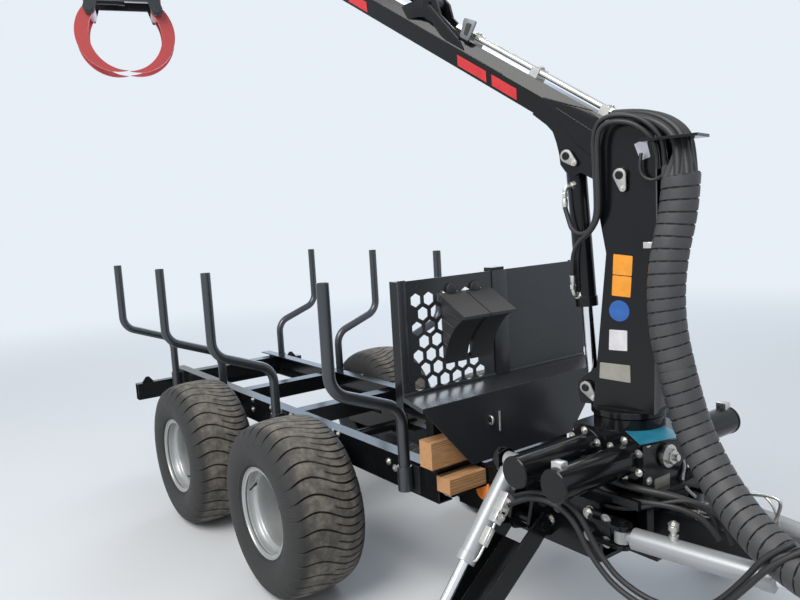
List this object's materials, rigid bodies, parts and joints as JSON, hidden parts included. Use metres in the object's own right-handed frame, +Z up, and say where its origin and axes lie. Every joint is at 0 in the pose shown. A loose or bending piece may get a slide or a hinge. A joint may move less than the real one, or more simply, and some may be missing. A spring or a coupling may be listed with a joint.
{
  "type": "forestry crane trailer",
  "caption": "Small forestry trailer on rocking bogies, with log stakes, a steered drawbar, support legs and a slewing loader crane with grapple.",
  "frame": {"origin": "on the ground, under the middle of the whole trailer's length and width", "axes": "+X forward towards the drawbar eye, +Y to the trailer's left, +Z up"},
  "size_m": [4.544, 1.9, 3.0257],
  "materials": {
    "black_paint": "gloss black paint",
    "dark_paint": "satin anthracite paint",
    "stake_paint": "grey metallic paint",
    "rim_paint": "silver-grey paint",
    "cylinder_paint": "silver-grey paint",
    "red_paint": "gloss red paint",
    "tyre": "dull black rubber",
    "chrome": "polished rod",
    "zinc": "bright zinc plating",
    "hose": "black rubber hose in a ribbed sleeve",
    "timber": "sawn softwood",
    "black_plastic": "matt black plastic"
  },
  "bodies": {
    "root": {"bogie_axle": "black_paint", "frame_rails": "black_paint", "cross_members": "black_paint", "rear_beam": "black_paint", "stakes_right": "stake_paint", "stakes_left": "stake_paint", "headboard_frame": "black_paint", "headboard_panels": "dark_paint", "headboard_fascia": "dark_paint", "control_box": "black_plastic", "block_tray": "black_paint", "timber_blocks": "timber", "neck": "black_paint", "leg_brackets": "black_paint", "slew_housing": "black_paint", "slew_tubes": "black_paint"},
    "bogie_right": {"bogie_beam_right": "black_paint"},
    "wheel_front_right": {"tyre_front_right": "tyre", "rim_front_right": "rim_paint"},
    "wheel_rear_right": {"tyre_rear_right": "tyre", "rim_rear_right": "rim_paint"},
    "bogie_left": {"bogie_beam_left": "black_paint"},
    "wheel_front_left": {"tyre_front_left": "tyre", "rim_front_left": "rim_paint"},
    "wheel_rear_left": {"tyre_rear_left": "tyre", "rim_rear_left": "rim_paint"},
    "leg_right": {"leg_right": "black_paint"},
    "leg_barrel_right": {"leg_barrel_right": "cylinder_paint"},
    "leg_rod_right": {"leg_rod_right": "chrome"},
    "leg_left": {"leg_left": "black_paint"},
    "leg_barrel_left": {"leg_barrel_left": "cylinder_paint"},
    "leg_rod_left": {"leg_rod_left": "chrome"},
    "drawbar": {"drawbar": "black_paint", "drawbar_eye": "black_paint", "hose_holder": "black_paint", "hose_bundle_lower": "hose"},
    "steer_barrel_right": {"steer_barrel_right": "cylinder_paint"},
    "steer_rod_right": {"steer_rod_right": "chrome"},
    "steer_barrel_left": {"steer_barrel_left": "cylinder_paint"},
    "steer_rod_left": {"steer_rod_left": "chrome"},
    "column": {"column": "black_paint", "hose_bundle_upper": "hose", "head_hoses": "hose"},
    "inner_boom": {"inner_boom": "black_paint", "boom_pipes": "zinc"},
    "lift_barrel": {"lift_barrel": "black_paint"},
    "lift_rod": {"lift_rod": "chrome"},
    "outer_boom": {"outer_boom": "black_paint"},
    "fold_barrel": {"fold_barrel": "black_paint"},
    "fold_rod": {"fold_rod": "chrome"},
    "extension": {"extension": "black_paint"},
    "tip_link": {"tip_link": "black_paint"},
    "rotator": {"rotator": "black_paint"},
    "grapple_head": {"grapple_head": "dark_paint"},
    "jaw_left": {"jaw_left": "red_paint"},
    "jaw_right": {"jaw_right": "red_paint"},
    "grapple_barrel": {"grapple_barrel": "black_paint"},
    "grapple_rod": {"grapple_rod": "chrome"}
  },
  "joints": [
    {"name": "bogie_right_rock", "type": "hinge", "parent": "root", "child": "bogie_right", "pos_m": [-0.728, -0.369, 0.385], "axis": [0, 1, 0], "range_deg": [-10, 10]},
    {"name": "wheel_front_right_roll", "type": "hinge", "parent": "bogie_right", "child": "wheel_front_right", "pos_m": [-0.248, -0.559, 0.35], "axis": [0, 1, 0], "continuous": true},
    {"name": "wheel_rear_right_roll", "type": "hinge", "parent": "bogie_right", "child": "wheel_rear_right", "pos_m": [-1.208, -0.559, 0.35], "axis": [0, 1, 0], "continuous": true},
    {"name": "bogie_left_rock", "type": "hinge", "parent": "root", "child": "bogie_left", "pos_m": [-0.728, 0.369, 0.385], "axis": [0, 1, 0], "range_deg": [-10, 10]},
    {"name": "wheel_front_left_roll", "type": "hinge", "parent": "bogie_left", "child": "wheel_front_left", "pos_m": [-0.248, 0.559, 0.35], "axis": [0, 1, 0], "continuous": true},
    {"name": "wheel_rear_left_roll", "type": "hinge", "parent": "bogie_left", "child": "wheel_rear_left", "pos_m": [-1.208, 0.559, 0.35], "axis": [0, 1, 0], "continuous": true},
    {"name": "leg_right_raise", "type": "hinge", "parent": "root", "child": "leg_right", "pos_m": [0.757, -0.258, 0.517], "axis": [-1, 0, 0], "range_deg": [0, 60]},
    {"name": "leg_cylinder_right_swing", "type": "hinge", "parent": "root", "child": "leg_barrel_right", "pos_m": [0.757, -0.304, 0.715], "axis": [-1, 0, 0], "range_deg": [-0.5, 54.13]},
    {"name": "leg_cylinder_right_stroke", "type": "slide", "parent": "leg_barrel_right", "child": "leg_rod_right", "axis": [0, -0.6497, -0.7602], "range_m": [-0.1991, 0.001]},
    {"name": "leg_left_raise", "type": "hinge", "parent": "root", "child": "leg_left", "pos_m": [0.757, 0.258, 0.517], "axis": [1, 0, 0], "range_deg": [0, 60]},
    {"name": "leg_cylinder_left_swing", "type": "hinge", "parent": "root", "child": "leg_barrel_left", "pos_m": [0.757, 0.304, 0.715], "axis": [1, 0, 0], "range_deg": [-0.5, 54.13]},
    {"name": "leg_cylinder_left_stroke", "type": "slide", "parent": "leg_barrel_left", "child": "leg_rod_left", "axis": [0, 0.6497, -0.7602], "range_m": [-0.1991, 0.001]},
    {"name": "drawbar_steer", "type": "hinge", "parent": "root", "child": "drawbar", "pos_m": [1.038, 0, 0.54], "axis": [0, 0, 1], "range_deg": [-30, 30]},
    {"name": "steer_cylinder_right_swing", "type": "hinge", "parent": "root", "child": "steer_barrel_right", "pos_m": [1.072, -0.2, 0.55], "axis": [0, 0, 1], "range_deg": [-30.91, 30.91]},
    {"name": "steer_cylinder_right_stroke", "type": "slide", "parent": "steer_barrel_right", "child": "steer_rod_right", "axis": [0.9873, 0.1587, 0], "range_m": [-0.1042, 0.1042]},
    {"name": "steer_cylinder_left_swing", "type": "hinge", "parent": "root", "child": "steer_barrel_left", "pos_m": [1.072, 0.2, 0.55], "axis": [0, 0, 1], "range_deg": [-30.91, 30.91]},
    {"name": "steer_cylinder_left_stroke", "type": "slide", "parent": "steer_barrel_left", "child": "steer_rod_left", "axis": [0.9873, -0.1587, 0], "range_m": [-0.1042, 0.1042]},
    {"name": "crane_slew", "type": "hinge", "parent": "root", "child": "column", "pos_m": [0.952, 0, 0.9], "axis": [0, 0, 1], "range_deg": [-180, 180]},
    {"name": "boom_lift", "type": "hinge", "parent": "column", "child": "inner_boom", "pos_m": [0.97149, 0.0045, 1.552], "axis": [-0.225, 0.9744, 0], "range_deg": [-31, 42], "deforming": ["head_hoses"]},
    {"name": "lift_cylinder_swing", "type": "hinge", "parent": "inner_boom", "child": "lift_barrel", "pos_m": [0.79851, -0.03544, 1.62198], "axis": [-0.225, 0.9744, 0], "range_deg": [-37.03, 27.46]},
    {"name": "lift_cylinder_stroke", "type": "slide", "parent": "lift_barrel", "child": "lift_rod", "axis": [0.0586, 0.0135, -0.9982], "range_m": [-0.0864, 0.1168]},
    {"name": "boom_fold", "type": "hinge", "parent": "inner_boom", "child": "outer_boom", "pos_m": [-0.5319, -0.34258, 2.62792], "axis": [0.225, -0.9744, 0], "range_deg": [-8, 105]},
    {"name": "fold_cylinder_swing", "type": "hinge", "parent": "inner_boom", "child": "fold_barrel", "pos_m": [0.30092, -0.15031, 2.17778], "axis": [0.225, -0.9744, 0], "range_deg": [-1.01, 0.54]},
    {"name": "fold_cylinder_stroke", "type": "slide", "parent": "fold_barrel", "child": "fold_rod", "axis": [-0.7963, -0.1838, 0.5763], "range_m": [-0.0218, 0.2738]},
    {"name": "boom_extend", "type": "slide", "parent": "outer_boom", "child": "extension", "axis": [-0.9277, -0.2142, 0.3057], "range_m": [0, 0.85]},
    {"name": "link_swing", "type": "hinge", "parent": "extension", "child": "tip_link", "pos_m": [-1.65909, -0.60282, 2.99934], "axis": [-0.225, 0.9744, 0], "range_deg": [-30, 90]},
    {"name": "rotator_sway", "type": "hinge", "parent": "tip_link", "child": "rotator", "pos_m": [-1.65909, -0.60282, 2.88734], "axis": [-0.9744, -0.225, 0], "range_deg": [-40, 40]},
    {"name": "grapple_turn", "type": "hinge", "parent": "rotator", "child": "grapple_head", "pos_m": [-1.65909, -0.60282, 2.70534], "axis": [0, 0, 1], "continuous": true},
    {"name": "jaw_left_open", "type": "hinge", "parent": "grapple_head", "child": "jaw_left", "pos_m": [-1.61231, -0.44981, 2.58034], "axis": [0.9563, -0.2924, 0], "range_deg": [0, 50]},
    {"name": "jaw_right_open", "type": "hinge", "parent": "grapple_head", "child": "jaw_right", "pos_m": [-1.70587, -0.75583, 2.58034], "axis": [0.9563, -0.2924, 0], "range_deg": [-50.5, 0.5]},
    {"name": "grapple_cylinder_swing", "type": "hinge", "parent": "jaw_right", "child": "grapple_barrel", "pos_m": [-1.70762, -0.76156, 2.65034], "axis": [0.9563, -0.2924, 0], "range_deg": [-0.5, 50.5]},
    {"name": "grapple_cylinder_stroke", "type": "slide", "parent": "grapple_barrel", "child": "grapple_rod", "axis": [0.2924, 0.9563, 0], "range_m": [-0.1173, 0.001]}
  ],
  "couplings": [
    {"joint": "leg_cylinder_right_swing", "follows": "leg_right_raise", "ratio": 0.89376},
    {"joint": "leg_cylinder_right_stroke", "follows": "leg_right_raise", "m_per_rad": -0.18915},
    {"joint": "leg_cylinder_left_swing", "follows": "leg_left_raise", "ratio": 0.89376},
    {"joint": "leg_cylinder_left_stroke", "follows": "leg_left_raise", "m_per_rad": -0.18915},
    {"joint": "steer_cylinder_right_swing", "follows": "drawbar_steer", "ratio": 1.0138},
    {"joint": "steer_cylinder_right_stroke", "follows": "drawbar_steer", "m_per_rad": 0.19701},
    {"joint": "steer_cylinder_left_swing", "follows": "drawbar_steer", "ratio": 1.0138},
    {"joint": "steer_cylinder_left_stroke", "follows": "drawbar_steer", "m_per_rad": -0.19701},
    {"joint": "lift_cylinder_swing", "follows": "boom_lift", "ratio": -0.86966},
    {"joint": "lift_cylinder_stroke", "follows": "boom_lift", "m_per_rad": 0.1579},
    {"joint": "fold_cylinder_swing", "follows": "boom_fold", "ratio": -0.004871},
    {"joint": "fold_cylinder_stroke", "follows": "boom_fold", "m_per_rad": 0.14888},
    {"joint": "jaw_right_open", "follows": "jaw_left_open", "ratio": -1},
    {"joint": "grapple_cylinder_swing", "follows": "jaw_left_open", "ratio": 1},
    {"joint": "grapple_cylinder_stroke", "follows": "jaw_left_open", "m_per_rad": -0.13325}
  ]
}
